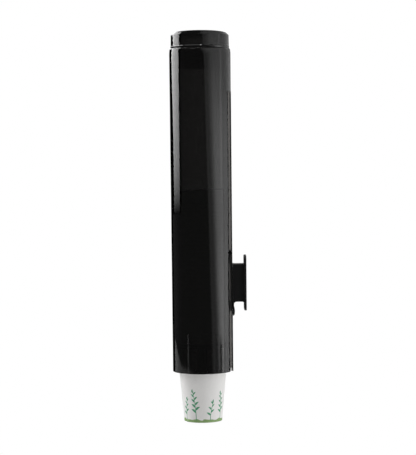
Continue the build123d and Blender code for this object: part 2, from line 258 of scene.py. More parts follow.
# %% Smoke-tinted SAN
SAN_IOR, POLISHED = 1.57, 0.02
WALL_MM = 2.8
LIGHT_THROUGH_WALL = 0.075
RIPPLE_MM, RIPPLE_STRETCH, RIPPLE_HEIGHT_MM = 28, 0.12, 0.25
smoke_plastic, tree, output = material("smoke_tinted_san")
place = node(tree, "ShaderNodeTexCoord")
flow = node(tree, "ShaderNodeMapping", {"Scale": (1, 1, RIPPLE_STRETCH)}, Vector=place.outputs["Object"])
ripple = node(tree, "ShaderNodeTexNoise", {"Scale": 1 / (RIPPLE_MM * MM), "Detail": 1.0},
              Vector=flow.outputs["Vector"])
wave = node(tree, "ShaderNodeBump", {"Strength": 0.12, "Distance": RIPPLE_HEIGHT_MM * MM},
            Height=ripple.outputs["Fac"])
surface_shader = node(
    tree,
    "ShaderNodeBsdfPrincipled",
    {
        "Base Color": linear("#f4f2f0"),
        "Roughness": POLISHED,
        "IOR": SAN_IOR,
        "Transmission Weight": 1.0,
    },
    Normal=wave.outputs["Normal"],
)
dye = node(
    tree,
    "ShaderNodeVolumeAbsorption",
    {"Color": linear("#1c1a18"), "Density": -math.log(LIGHT_THROUGH_WALL) / (WALL_MM * MM)},
)
tree.links.new(surface_shader.outputs["BSDF"], output.inputs["Surface"])
tree.links.new(dye.outputs["Volume"], output.inputs["Volume"])
print("absorption per metre", round(dye.inputs["Density"].default_value))

# %% [markdown]
# The lid's flange is the same plastic, solid over the whole width of the lid's wall and seen edge on.
# Its finish is an opaque near-black with the same polish. This is painted shade: it stands in for the
# shadow in the seam between lid and tube, and it makes the flange's underside a dark parting line.

# %% Solid smoke SAN with painted shade
# Opaque near-black in place of the tinted clear plastic: painted shade for the dark parting seam under
# the lid.
flange_plastic_painted_shade, tree, output = material("smoke_san_painted_shade")
painted_shade_flange_shader = node(
    tree,
    "ShaderNodeBsdfPrincipled",
    {"Base Color": linear("#050505"), "Roughness": POLISHED, "IOR": SAN_IOR},
)
tree.links.new(painted_shade_flange_shader.outputs["BSDF"], output.inputs["Surface"])
print("flange", flange_plastic_painted_shade.name)

# %% [markdown]
# The bracket and its brake tongue are black ABS, moulded in a lightly etched tool. The fine
# etch breaks the gloss, and its bumps are about a third of a millimetre apart. The collar and
# its fingers are polypropylene, duller and a little waxy.

# %% Etched black plastics
GLOSS_PATCH_MM, GLOSS_SPREAD = 9, 0.04


def etched_plastic(name, colour, roughness, ior, grain_mm, depth_mm):
    """Moulded plastic with an etched grain: noise bumps and slightly uneven gloss."""
    made, tree, output = material(name)
    place = node(tree, "ShaderNodeTexCoord")
    grain = node(tree, "ShaderNodeTexNoise", {"Scale": 1 / (grain_mm * MM), "Detail": 2.0},
                 Vector=place.outputs["Object"])
    bump = node(tree, "ShaderNodeBump", {"Strength": 0.5, "Distance": depth_mm * MM},
                Height=grain.outputs["Fac"])
    cloud = node(tree, "ShaderNodeTexNoise", {"Scale": 1 / (GLOSS_PATCH_MM * MM), "Detail": 3.0},
                 Vector=place.outputs["Object"])
    gloss = node(tree, "ShaderNodeMapRange",
                 {"To Min": roughness - GLOSS_SPREAD, "To Max": roughness + GLOSS_SPREAD},
                 Value=cloud.outputs["Fac"])
    shader = node(tree, "ShaderNodeBsdfPrincipled", {"Base Color": linear(colour), "IOR": ior},
                  Normal=bump.outputs["Normal"], Roughness=gloss.outputs["Result"])
    tree.links.new(shader.outputs["BSDF"], output.inputs["Surface"])
    return made


bracket_plastic = etched_plastic(
    "etched_black_abs", "#171718", roughness=0.34, ior=1.54, grain_mm=0.35, depth_mm=0.012
)
collar_plastic = etched_plastic(
    "black_polypropylene", "#141414", roughness=0.45, ior=1.49, grain_mm=0.5, depth_mm=0.015
)
print("black plastics", bracket_plastic.name, collar_plastic.name)

# %% [markdown]
# The cups are white paperboard with a thin polyethylene coat. Paperboard shows faint cloudy
# fibre clumps a few millimetres across, and the coat gives a soft sheen.

# %% Coated paperboard
FIBRE_MM, TOOTH_MM = 2.2, 0.02
cup_paper, tree, output = material("coated_paperboard")
place = node(tree, "ShaderNodeTexCoord")
fibre = node(tree, "ShaderNodeTexNoise",
             {"Scale": 1 / (FIBRE_MM * MM), "Detail": 5.0, "Roughness": 0.65},
             Vector=place.outputs["Object"])
tint = node(tree, "ShaderNodeMix",
            {"data_type": "RGBA", COLOUR_A: linear("#e9e8e6"), COLOUR_B: linear("#f6f5f3")},
            Factor=fibre.outputs["Fac"])
tooth = node(tree, "ShaderNodeBump", {"Strength": 0.25, "Distance": TOOTH_MM * MM},
             Height=fibre.outputs["Fac"])
paper_shader = node(
    tree,
    "ShaderNodeBsdfPrincipled",
    {
        "Roughness": 0.5,
        "IOR": 1.5,
        "Specular IOR Level": 0.4,
        "Sheen Weight": 0.3,
        "Sheen Roughness": 0.4,
    },
    Base_Color=tint.outputs[COLOUR_OUT],
    Normal=tooth.outputs["Normal"],
)
tree.links.new(paper_shader.outputs["BSDF"], output.inputs["Surface"])
print("paper", cup_paper.name)

# %% [markdown]
# The print is two water-based greens. Such ink lies unevenly on coated board, so each colour
# drifts between two close shades over a few millimetres.


# %% Printing inks
def ink(name, colour_a, colour_b, patch_mm):
    """Water-based printing ink on paper: two close shades, mottled where the ink lies thinner."""
    made, tree, output = material(name)
    place = node(tree, "ShaderNodeTexCoord")
    mottle = node(tree, "ShaderNodeTexNoise", {"Scale": 1 / (patch_mm * MM), "Detail": 3.0},
                  Vector=place.outputs["Object"])
    blend = node(tree, "ShaderNodeMix",
                 {"data_type": "RGBA", COLOUR_A: linear(colour_a), COLOUR_B: linear(colour_b)},
                 Factor=mottle.outputs["Fac"])
    shader = node(tree, "ShaderNodeBsdfPrincipled", {"Roughness": 0.55, "IOR": 1.5},
                  Base_Color=blend.outputs[COLOUR_OUT])
    tree.links.new(shader.outputs["BSDF"], output.inputs["Surface"])
    return made


leaf_ink = ink("leaf_green_ink", "#2f8a5c", "#5fb487", patch_mm=2.5)
ground_ink = ink("ground_green_ink", "#7d9f5c", "#9cba80", patch_mm=4.0)
print("inks", leaf_ink.name, ground_ink.name)

# %% [markdown]
# ## The tube
#
# The tube tapers a little towards its foot, as a moulding must to leave its tool. Its back is
# cut flat where the channel runs, its bore is flat there too, and a slanting flat flank runs
# from each side to the channel. One closed profile, turned round the axis with the back built
# out to the flanks and clamped to a plane, gives outside, mouth, bore, coned floor and throat
# hole as a single watertight wall, which clear plastic needs to bend light properly.

# %% Tube wall
tube_low, tube_high = (corner[2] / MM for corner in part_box("dispenser_tube"))
TUBE_TOP_RADIUS, TUBE_FOOT_RADIUS = 45.75, 44.7
MOUTH_BEVEL_DOWN = 11.0
MOUTH_EDGE, MOUTH_EDGE_DOWN = 45.1, 6.3
LIP_RADIUS, LIP_DOWN = 43.25, 4.6
THROAT_RADIUS, FLOOR_WALL, FLOOR_EDGE_WALL, FLOOR_RISE = 38.5, 1.6, 0.9, 0.35
CHANNEL_TOP, CHANNEL_FLOOR, BORE_FLAT = 285.0, 41.2, 39.6
FLANK_FOOT, FLANK_INSET, FLANK_REAR = tube_low + 2.0, 0.1, 40.2
NO_FLAT = 1000.0
bore_top, bore_foot = TUBE_TOP_RADIUS - WALL_MM, TUBE_FOOT_RADIUS - WALL_MM


def side_radius(height, foot, top):
    """Radius of a tapered wall: foot at the floor's corner, top at the mouth, straight between."""
    share = (height - tube_low - FLOOR_RISE) / (tube_high - tube_low - FLOOR_RISE)
    return foot + (top - foot) * share


bore_step = CHANNEL_TOP + CHANNEL_FLOOR - BORE_FLAT
channel_top_radius = side_radius(CHANNEL_TOP, TUBE_FOOT_RADIUS, TUBE_TOP_RADIUS)
bore_step_radius = side_radius(bore_step, bore_foot, bore_top)
outside = eased(
    [
        (THROAT_RADIUS, tube_low),
        (TUBE_FOOT_RADIUS, tube_low + FLOOR_RISE),
        (channel_top_radius, CHANNEL_TOP),
    ],
    (0, 0.8, 0),
)
mouth = eased(
    [
        (channel_top_radius, CHANNEL_TOP),
        (TUBE_TOP_RADIUS, tube_high - MOUTH_BEVEL_DOWN),
        (MOUTH_EDGE, tube_high - MOUTH_EDGE_DOWN),
        (LIP_RADIUS, tube_high - LIP_DOWN),
        (bore_top, tube_high - LIP_DOWN),
        (bore_step_radius, bore_step),
    ],
    (0, 3.0, 0.35, 0.1, 0.1, 0),
)
inside = eased(
    [
        (bore_step_radius, bore_step),
        (bore_foot, tube_low + FLOOR_RISE + FLOOR_EDGE_WALL),
        (THROAT_RADIUS, tube_low + FLOOR_WALL),
    ],
    (0, 0.8, 0),
)
outside, mouth = supported(outside), supported(mouth)

# %% [markdown]
# The flanks start a little above the foot. There the profile gets two rows at one height, one
# round and one built out, so that the step between them is level.

# %% Flat back and flanks
flank_start = (np.interp(FLANK_FOOT, outside[:, 1], outside[:, 0]), FLANK_FOOT)
below = outside[outside[:, 1] < FLANK_FOOT]
above = outside[outside[:, 1] > FLANK_FOOT]
flanked = np.concatenate([[flank_start], above])
outside = np.concatenate([below, [flank_start], flanked])
flat_of_row = np.repeat([CHANNEL_FLOOR, NO_FLAT, BORE_FLAT], [len(outside), len(mouth), len(inside)])
flank_of_row = np.zeros((len(flat_of_row), 2))
with_flank = slice(len(outside) - len(flanked), len(outside))
flanked_radius = side_radius(flanked[:, 1], TUBE_FOOT_RADIUS, TUBE_TOP_RADIUS)
flank_of_row[with_flank, 0] = flanked_radius - FLANK_INSET
flank_of_row[with_flank, 1] = FLANK_REAR
wall_profile = np.concatenate([outside, mouth, inside])
wall_grid = turned(wall_profile, columns=720, flat=flat_of_row, flank=flank_of_row)
tube_shell = surface("tube_shell", wall_grid)

# %% [markdown]
# Two rails stand on the flat back and form the channel that slides over the bracket's head.
# Each is a thin side with a lip turned inwards. The outline is the same all the way down, so it
# is carried straight from the channel's top to its foot and closed at both ends.

# %% Channel rails
RAIL_FOOT = FLANK_FOOT
RAIL_FACE, RAIL_ROOT = 45.7, 40.2
RAIL_HALF_WIDTH, RAIL_SIDE, RAIL_LIP, SLOT_HALF_WIDTH = 19.0, 1.0, 1.5, 12.5
outer_line = eased(
    [
        (RAIL_HALF_WIDTH, RAIL_ROOT),
        (RAIL_HALF_WIDTH, RAIL_FACE),
        (SLOT_HALF_WIDTH, RAIL_FACE),
    ],
    (0, 0.8, 0),
)
inner_line = eased(
    [
        (RAIL_HALF_WIDTH - RAIL_SIDE, RAIL_ROOT),
        (RAIL_HALF_WIDTH - RAIL_SIDE, RAIL_FACE - RAIL_LIP),
        (SLOT_HALF_WIDTH, RAIL_FACE - RAIL_LIP),
    ],
    (0, 0.3, 0),
)


def rail_part(lines, height, side):
    """Points of one rail: lines of (x, distance behind the axis) points, at a height or heights."""
    x, back, z = np.broadcast_arrays(side * lines[..., 0], AXIS_Y + lines[..., 1], height)
    return np.stack([x, back, z], axis=-1)


def rail(name, side):
    """One closed rail: its outline loops from foot to top, and strips between its two lines cap it."""
    loop = np.concatenate([outer_line, inner_line[::-1]])
    strip = np.stack([outer_line, inner_line])
    levels = np.array([RAIL_FOOT, CHANNEL_TOP])
    made = surface(name, rail_part(loop[None], levels[:, None], side), loop_rows=False)
    ends = (rail_part(strip, level, side) for level in levels)
    caps = surface(name + "_caps", *ends, loop_rows=False, loop_columns=False)
    weld(made.data, made.data, caps.data)
    bpy.data.objects.remove(caps)
    return made


rails = [rail("channel_rail_right", 1), rail("channel_rail_left", -1)]
for piece in (tube_shell, *rails):
    dress(piece, smoke_plastic)
    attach(piece, "tube")
    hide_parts("dispenser_tube")
dress(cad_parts["rail_stop"], smoke_plastic)

# %% [markdown]
# ## The lid
#
# The lid is a shallow cap over a long plug that keeps it straight in the tube's mouth. Its top
# swells slightly and its edge is bevelled. The profile runs from the middle of the top, down the
# outside and the plug, and back up inside. The crown's last two points go to the eased skirt.
#
# Round its foot runs a flange with a fine bead, which stands on the tube's mouth: the top of the bead
# glints, and its underside makes a dark parting line. It is part of the same moulding, but it is a ring
# of its own here with an opaque near-black finish. That darkness is painted shade for the seam between
# lid and tube.

# %% Lid
lid_bottom, lid_top = lid_low[2] / MM, lid_high[2] / MM
LID_LOW_RADIUS = lid_high[0] / MM - 0.3
LID_TOP_RADIUS = LID_LOW_RADIUS - 0.2
LID_CROWN, CROWN_RADIUS, CROWN_POWER, LID_BEVEL, LID_WALL = 4.55, 38.9, 4.5, 4.0, 2.0
PLUG_RADIUS = 42.45
CEILING, CEILING_EDGE = lid_top - 1.6 * LID_WALL, lid_top - 5.6
BEAD_RADIUS, BEAD_TOP, BEAD_FOOT = LID_LOW_RADIUS + 0.45, tube_high - 1.4, tube_high - 2.6
BEAD_SLOPE, SHELL_STEP = 0.8, BEAD_TOP - 0.2
FLANGE_EDGE, FLANGE_INSIDE = LID_LOW_RADIUS - 0.02, LIP_RADIUS - 1.2
LID_SEAT = tube_high - LIP_DOWN + 0.1
across = np.linspace(0, CROWN_RADIUS, 28)
crown = np.stack([across, lid_top - LID_CROWN * (across / LID_TOP_RADIUS) ** CROWN_POWER], axis=-1)
bevel_foot = crown[-1, 1] - LID_BEVEL
skirt = eased(
    [
        crown[-3],
        crown[-1],
        (LID_TOP_RADIUS, bevel_foot),
        (LID_LOW_RADIUS, SHELL_STEP),
        (PLUG_RADIUS, SHELL_STEP),
        (PLUG_RADIUS, lid_bottom),
        (PLUG_RADIUS - LID_WALL, lid_bottom),
        (PLUG_RADIUS - LID_WALL, bevel_foot - LID_WALL / 2),
        (CROWN_RADIUS - 2 * LID_WALL, CEILING_EDGE),
        (CROWN_RADIUS / 2, CEILING),
        (0, CEILING),
    ],
    (0, 1.1, 0.15, 0, 0, 0.6, 0.4, 3.0, 2.0, 6.0, 0),
    steps=10,
)
shell_profile = np.concatenate([crown[:-3], supported(skirt)])
lid_shell = surface("lid_shell", turned(shell_profile), loop_rows=False)
dress(lid_shell, smoke_plastic)
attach(lid_shell, "lid")
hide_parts("lid")
flange = eased(
    [
        (FLANGE_INSIDE, BEAD_TOP),
        (FLANGE_EDGE, BEAD_TOP),
        (BEAD_RADIUS, BEAD_TOP - BEAD_SLOPE),
        (BEAD_RADIUS, BEAD_FOOT),
        (LIP_RADIUS, LID_SEAT),
        (FLANGE_INSIDE, LID_SEAT),
    ],
    (0, 0, 0.15, 0.15, 0.1, 0),
    closed=True,
    steps=7,
)
lid_flange = surface("lid_flange", turned(flange))
# The flange's opaque near-black finish is painted shade for the parting seam.
dress(lid_flange, flange_plastic_painted_shade)
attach(lid_flange, "lid")

# %% [markdown]
# ## The cups
#
# A paper cup is a sleeve wrapped to a cone and glued along a seam, with its top curled outwards
# into a rim, and a base disc whose skirt is pressed into the foot of the sleeve. The curl is
# half of what makes a cup look like a cup, so the profile follows it round.

# %% Cup profiles
CUP_HEIGHT, RIM_RADIUS, RIM_HEIGHT, RIM_WIDTH = 75.5, 36.5, 2.5, 1.55
CUP_PITCH, RADIUS_PER_PITCH, SLEEVE_TOP = 6.0, 0.55, 35.2
SIDE_SLOPE = RADIUS_PER_PITCH / CUP_PITCH
PAPER, BASE_RECESS, BASE_GAP, CURL_ROOT = 0.25, 5.45, 0.05, 0.3


def sleeve_radius(drop):
    """Outer radius of a sleeve at a depth below its rim's top: straight, by the side's slope."""
    return SLEEVE_TOP - SIDE_SLOPE * drop


def curl(rim_top, start=-140, end=180, steps=11):
    """Rolled rim as an ellipse about (r, z) = its middle: r + a cos t, z + b sin t, t in degrees."""
    t = np.radians(np.linspace(start, end, steps))
    a, b = RIM_WIDTH / 2, RIM_HEIGHT / 2
    return np.stack([RIM_RADIUS - a + a * np.cos(t), rim_top - b + b * np.sin(t)], axis=-1)


def sleeve_profile(rim_top):
    """Closed profile of a sleeve: up the outside, round the curl, down the inside."""
    foot = rim_top - CUP_HEIGHT
    curl_root = rim_top - RIM_HEIGHT + CURL_ROOT
    outside = [(sleeve_radius(CUP_HEIGHT), foot), (sleeve_radius(RIM_HEIGHT), curl_root)]
    inside = [(sleeve_radius(CUP_HEIGHT) - PAPER, foot)]
    return np.concatenate([outside, curl(rim_top), inside])


def base_profile(rim_top):
    """Profile of a base: from the middle of the disc's underside, round its skirt, to the top."""
    foot = rim_top - CUP_HEIGHT
    disc = foot + BASE_RECESS
    skirt_radius = sleeve_radius(CUP_HEIGHT) - PAPER - BASE_GAP
    corners = [
        (0, disc),
        (skirt_radius - PAPER, disc),
        (skirt_radius - PAPER, foot),
        (skirt_radius, foot),
        (skirt_radius, disc + PAPER),
        (0, disc + PAPER),
    ]
    return eased(corners, (0, 0.5, 0, 0, 0.6, 0))


SEAM_ANGLE, SEAM_HALF_WIDTH, SEAM_RAMP = math.radians(205), math.radians(7), math.radians(0.8)


def with_seam(grid):
    """Lifts a sleeve's outer side by one paper thickness over its glued seam.

    The lift is PAPER * s, where s rises from 0 at the seam's edges to 1 over the ramp's angle,
    and only the profile's first two rows, its outer side, are moved.
    """
    offset = grid - np.array([0, AXIS_Y, 0])
    angle = np.arctan2(offset[..., 1], offset[..., 0]) % (2 * np.pi)
    inside_seam = np.clip((SEAM_HALF_WIDTH - np.abs(angle - SEAM_ANGLE)) / SEAM_RAMP, 0, 1)
    outer_rows = np.zeros(grid.shape[0])
    outer_rows[:2] = 1
    lift = PAPER * inside_seam * outer_rows[:, None]
    out = np.stack([np.cos(angle), np.sin(angle), np.zeros_like(angle)], axis=-1)
    return grid + out * lift[..., None]


def leaned(grid, degrees, pivot_height):
    """Turns points about a level line across the tube, at the given height on its axis."""
    turn = np.array(Matrix.Rotation(math.radians(degrees), 3, "X"))
    pivot = np.array([0, AXIS_Y, pivot_height])
    return (grid - pivot) @ turn.T + pivot


# %% [markdown]
# Three cups have CAD nodes of their own: the served one, the next, which rests on the fingers,
# and the top one, which was dropped in loosely and leans.


# %% Served, next and top cup
def cup(name, rim_top, body, lean=(0, 0)):
    """Sleeve and base of one cup, each standing for the CAD node of the same name."""
    sleeve_grid = leaned(with_seam(turned(sleeve_profile(rim_top), columns=360)), *lean)
    base_grid = leaned(turned(base_profile(rim_top)), *lean)
    sleeve = surface(name + "_sleeve_paper", sleeve_grid)
    base = surface(name + "_base_paper", base_grid, loop_rows=False)
    for piece, part in ((sleeve, "sleeve"), (base, "base")):
        dress(piece, cup_paper)
        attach(piece, body)
        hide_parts(f"{name}_{part}")


served_rim_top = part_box("served_cup_sleeve")[1][2] / MM
next_rim_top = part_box("next_cup_sleeve")[1][2] / MM
last_rim_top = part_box("nested_cups")[1][2] / MM
TOP_CUP_RISE, TOP_CUP_LEAN = 18.0, 2.19
lean_pivot = last_rim_top - (CUP_HEIGHT - TOP_CUP_RISE) / 2
cup("served_cup", served_rim_top, "served_cup")
cup("next_cup", next_rim_top, "cup_stack")
cup("top_cup", last_rim_top + TOP_CUP_RISE, "cup_stack", (TOP_CUP_LEAN, lean_pivot))

# %% [markdown]
# The rest of the stack shows only as a column of rims behind the dark wall. It is one turned
# profile: for each cup its curl, then the short stretch of side up to the next curl.

# %% Nested stack
cup_count = round((last_rim_top - next_rim_top) / CUP_PITCH)
rim_tops = next_rim_top + CUP_PITCH * np.arange(1, cup_count + 1)
bottom = rim_tops[0] - CUP_HEIGHT
rims = [curl(top, start=-120, end=100, steps=9) for top in rim_tops[:-1]]
last_rim = curl(rim_tops[-1], start=-120, steps=13)
cavity_floor = last_rim_top - CUP_HEIGHT + BASE_RECESS + PAPER
cavity_radius = sleeve_radius(last_rim_top - cavity_floor) - PAPER
stack_profile = np.concatenate(
    [
        [(0, bottom), (sleeve_radius(CUP_HEIGHT), bottom)],
        *rims,
        last_rim,
        [(cavity_radius, cavity_floor), (0, cavity_floor)],
    ]
)
nested_stack = surface("nested_stack", turned(stack_profile, columns=96), loop_rows=False)
dress(nested_stack, cup_paper)
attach(nested_stack, "cup_stack")
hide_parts("nested_cups")
print(cup_count, "nested cups")

# %% [markdown]
# ## The print on the cup
#
# The cup carries leafy sprigs over a green ground band. Ink has almost no thickness, so each
# mark is a thin patch that follows the cone a hair above the paper. A leaf is a lens: its width
# goes as a sine along its length l. A sprig is an arched stem with leaves to both sides. The
# next cup carries the same print, because it comes into view as the served cup is pulled.

# %% Marks on the cone
LEAF_LIFT, GROUND_LIFT = 0.03, 0.02
cup_foot = served_rim_top - CUP_HEIGHT


def on_cup(sideways, up, lift=LEAF_LIFT):
    """Maps a flat drawing to the served cup: sideways and up in mm from the foot of the +X side."""
    radius = sleeve_radius(CUP_HEIGHT - up)
    angle = sideways / sleeve_radius(CUP_HEIGHT / 2)
    out = radius + lift
    return np.stack([out * np.cos(angle), AXIS_Y + out * np.sin(angle), cup_foot + up], axis=-1)


def leaf(start, direction, length, width, bend=0.12):
    """Grid of a leaf, w sin(pi s^0.8) wide, its midrib bent aside by 4 * bend * l * s (1 - s)."""
    s = np.linspace(0, 1, 14)[:, None]
    across = np.linspace(-1, 1, 5)[None, :]
    along = length * s + 0 * across
    side = across * width / 2 * np.sin(np.pi * s**0.8) + bend * length * 4 * s * (1 - s)
    c, n = math.cos(direction), math.sin(direction)
    return on_cup(start[0] + along * c - side * n, start[1] + along * n + side * c)


STEM_WIDTH = 1.1
along_stem = np.linspace(0, 1, 24)


def stem(start, height, arch):
    """Grid and centre line of a stem: up in a straight line, sideways as arch * s^2, thinning."""
    s = along_stem
    sideways = start[0] + arch * s**2
    up = start[1] + height * s
    half = STEM_WIDTH / 2 * (1 - 0.55 * s[:, None]) * np.array([-1, 0, 1])
    return on_cup(sideways[:, None] + half, up[:, None] + 0 * half), sideways, up


def sprig(start, height, arch, leaves, leaf_length):
    """A stem with leaves alternately left and right, and one at the tip.

    Leaf k of n grows at the share s = 0.28 + 0.66 k / (n - 1) of the stem, leans away from it by
    62 - 22 s degrees and is 1 - 0.45 s times as long as a leaf at the foot.
    """
    stem_grid, sideways, up = stem(start, height, arch)
    grids = [stem_grid]
    for number in range(leaves):
        share = 0.28 + 0.66 * number / (leaves - 1)
        root = np.interp(share, along_stem, sideways), np.interp(share, along_stem, up)
        side = 1 if number % 2 else -1
        direction = math.radians(90 - side * (62 - 22 * share))
        length = leaf_length * (1 - 0.45 * share)
        grids.append(leaf(root, direction, length, length * 0.36, bend=0.1 * side))
    tip = sideways[-1], up[-1]
    grids.append(leaf(tip, math.radians(90) - arch / height, leaf_length * 0.6, 2.4))
    return grids


# %% [markdown]
# Each row below is one sprig: its place round the cup, its height, how far its tip arches
# sideways, its number of leaves and their length. The band's upper edge swells like turf, by two
# sines of different lengths.

# %% Sprigs and ground band
SPRIGS = (
    (-31.0, 30.0, 3.5, 6, 9.0),
    (-11.5, 41.0, -4.0, 8, 11.0),
    (12.0, 26.0, 4.0, 5, 9.5),
    (33.0, 38.0, -3.0, 8, 10.0),
    (60.0, 28.0, 4.0, 6, 9.5),
    (82.0, 40.0, -4.0, 8, 10.5),
    (-58.0, 37.0, 3.0, 7, 10.5),
    (-80.0, 27.0, -3.0, 6, 9.0),
)
BAND_HEIGHT, BAND_FOOT, SPRIG_ROOT = 4.6, 0.4, 1.0
sprig_grids = [
    grid
    for place, *habit in SPRIGS
    for grid in sprig((place, BAND_HEIGHT - SPRIG_ROOT), *habit)
]
around = np.linspace(0, 2 * np.pi * sleeve_radius(CUP_HEIGHT / 2), 361)[None, :]
turf = BAND_HEIGHT + 0.7 * np.sin(around / 4.1) + 0.5 * np.sin(around / 2.3 + 1)
band_up = BAND_FOOT + np.linspace(0, 1, 5)[:, None] * (turf - BAND_FOOT)
band_grid = on_cup(around + 0 * band_up, band_up, GROUND_LIFT)
printed_cups = (
    ("served_cup", "served_cup", 0),
    ("next_cup", "cup_stack", next_rim_top - served_rim_top),
)
marks = (("sprigs", sprig_grids, leaf_ink), ("ground_band", [band_grid], ground_ink))
for cup_name, body, rise in printed_cups:
    for mark, grids, finish in marks:
        risen = (grid + np.array([0, 0, rise]) for grid in grids)
        piece = surface(f"{cup_name}_{mark}", *risen, loop_rows=False, loop_columns=False)
        dress(piece, finish)
        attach(piece, body)

# %% [markdown]
# ## Bracket, tongue, collar and fingers
#
# These rigid mouldings already have their true shape in the CAD model, so each keeps its node
# and only gets its finish.

# %% Finishes of the CAD nodes
for name in ("wall_bracket", "brake_tongue"):
    dress(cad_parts[name], bracket_plastic)
for name in ("throat_collar", *(f"finger_{number}" for number in range(1, 7))):
    dress(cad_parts[name], collar_plastic)

# %% [markdown]
# ## The studio
#
# Polished black plastic shows nothing but reflections, so the studio is built as a photographer
# would: a bright soft box at the left gives one crisp strip, a large dimmer one at the right
# gives a slow gradient, one high in front gives the edges their glint, and a low one leaves a
# pale patch near the foot. Black cards keep the rest dark. A card on the ground is mirrored by
# undersides alone, and a fill that only matt surfaces see models the paper cup.
#
# A panel is a piece of a drum around the object, and its brightness is worked out point by point
# and kept as an attribute. The formulas say where it is bright, in degrees round the drum from
# the camera and millimetres of height.

# %% Light panels
ROOM_GLOW = 0.07
DOME_START = 1300
glow_material, tree, output = material("panel_glow")
level_of_glow = node(tree, "ShaderNodeAttribute", {"attribute_name": "glow"})
emission = node(tree, "ShaderNodeEmission", Strength=level_of_glow.outputs["Fac"])
tree.links.new(emission.outputs["Emission"], output.inputs["Surface"])


def panel(name, azimuths, heights, radius, glow, spacing=(1.0, 25.0), flat_at=None):
    """Light panel on a drum: x = R cos a, y = axis + R sin a, with a measured from the camera.

    Above a height of DOME_START the drum closes to a dome: R shrinks as sqrt(1 - t^2), with t
    the height above it over the radius. With flat_at given, the panel lies level at that height
    and R itself runs over the range. glow(azimuth, height) gives the radiance at each point, in
    degrees and mm. Paper and polished plastic see the panel, and the camera doesn't.
    """
    columns = round((azimuths[1] - azimuths[0]) / spacing[0]) + 1
    rows = round((heights[1] - heights[0]) / spacing[1]) + 1
    azimuth = np.linspace(*azimuths, columns)[None, :] + np.zeros((rows, 1))
    height = np.linspace(*heights, rows)[:, None] + np.zeros((1, columns))
    a = np.radians(azimuth)
    if flat_at is None:
        reach = radius * np.sqrt(1 - np.clip((height - DOME_START) / radius, 0, 1) ** 2)
    else:
        reach, height = height, np.full_like(height, flat_at)
    grid = np.stack([reach * np.cos(a), AXIS_Y + reach * np.sin(a), height], axis=-1)
    i = np.arange(rows - 1)[:, None] * columns
    j = np.arange(columns - 1)[None, :]
    faces = np.stack([i + j, i + j + 1, i + columns + j + 1, i + columns + j], axis=-1).reshape(-1, 4)
    mesh = bpy.data.meshes.new(name)
    mesh.from_pydata(grid.reshape(-1, 3) * MM, [], faces.tolist())
    levels = glow(azimuth, height).ravel().astype(np.float32)
    mesh.attributes.new("glow", "FLOAT", "POINT").data.foreach_set("value", levels)
    mesh.materials.append(glow_material)
    made = bpy.data.objects.new(name, mesh)
    bpy.context.scene.collection.objects.link(made)
    made.visible_camera = made.visible_transmission = False
    return made


def smooth(value, low, high):
    """0 below low, 1 above high, and 3 t^2 - 2 t^3 between."""
    t = np.clip((value - low) / (high - low), 0, 1)
    return t * t * (3 - 2 * t)


def bell(value, middle, width):
    """Bell curve e^(-t^2), with t the distance from the middle in widths."""
    return np.exp(-(((value - middle) / width) ** 2))


def left_glow(azimuth, height):
    """Bright strip: brighter with height as 1 - e^(-h / 130). Above the object's height it is a
    little narrower in front and reaches round to the back, dimmer and lower there.
    """
    inner = 85.5 + 2.5 * smooth(height, 408, 452)
    outer = 124 + 9 * smooth(height, 200, 420) + 38 * smooth(height, 500, 540)
    width = smooth(-azimuth, inner, inner + 3) * (1 - smooth(-azimuth, outer - 2, outer + 1))
    ceiling = 375 + 1000 * np.tan(np.radians(np.clip(190 + azimuth, 0, 60)))
    back = smooth(-azimuth, 128, 140)
    width *= (1 - 0.45 * back) * (1 - back * smooth(height, ceiling - 60, ceiling))
    return 4.4 * (1 - np.exp(-np.clip(height - 70, 0, None) / 130)) * width


def right_glow(azimuth, height):
    """Large soft light. It starts at a slanting edge with a dim step, rises to a plateau along
    a second slanting line, has one narrow brighter streak, and falls off behind the object. Near
    the floor it is dimmer and two upright bars stand before it. Overhead it is even, and ends in
    the plane of the object's middle.
    """
    slant = np.minimum(height, 900)
    step = 0.3 * smooth(azimuth, 26.2 - 0.0371 * slant, 31.2 - 0.0371 * slant)
    rise = smooth(azimuth, 41 - 0.052 * slant, 71 - 0.052 * slant)
    plateau = 1.2 - 0.75 * smooth(height, 180, 420) + 0.3 * smooth(-height, -60, 120)
    overhead = smooth(height, 700, 1100)
    fall = smooth(azimuth, 82 + 30 * overhead, 108 + 50 * overhead)
    streak = 0.35 * bell(azimuth, 84 - 0.006 * slant, 3.5) * (1 - overhead)
    glow = step * (1 - overhead) + rise * (plateau * (1 - fall) + 0.35 * fall) + streak
    glow *= 1 - smooth(height, 1900, 2200) * (1 - smooth(azimuth, 88, 93))
    shade = 0.4 * bell(azimuth, 56, 4) + 0.9 * bell(azimuth, 74.5, 5) + 0.22 * smooth(azimuth, 84, 94)
    glow *= 1 - shade * smooth(-height, 212, 226)
    back = 150 + 14 * smooth(height, 500, 900)
    return np.maximum(glow * (1 - smooth(azimuth, back, back + 6)), ROOM_GLOW)


def front_glow(azimuth, height):
    """Soft light high in front: only edges that face upwards mirror it, with a hot right end."""
    low = 1400 - 470 * smooth(-azimuth, 20, 97)
    lit = smooth(height, low, low + 60) * (1 - smooth(height, 2100, 2160))
    return lit * (1.3 + 12 * bell(azimuth, 6, 3))


PATCH_CEILING = ((-125, -195), (-116, -211), (-103, -228), (-91, -244), (-71, -250), (-36, -257))
PATCH_LEVEL = ((-116, 0.6), (-90, 0.42), (-50, 0.32), (-36, 0.12))


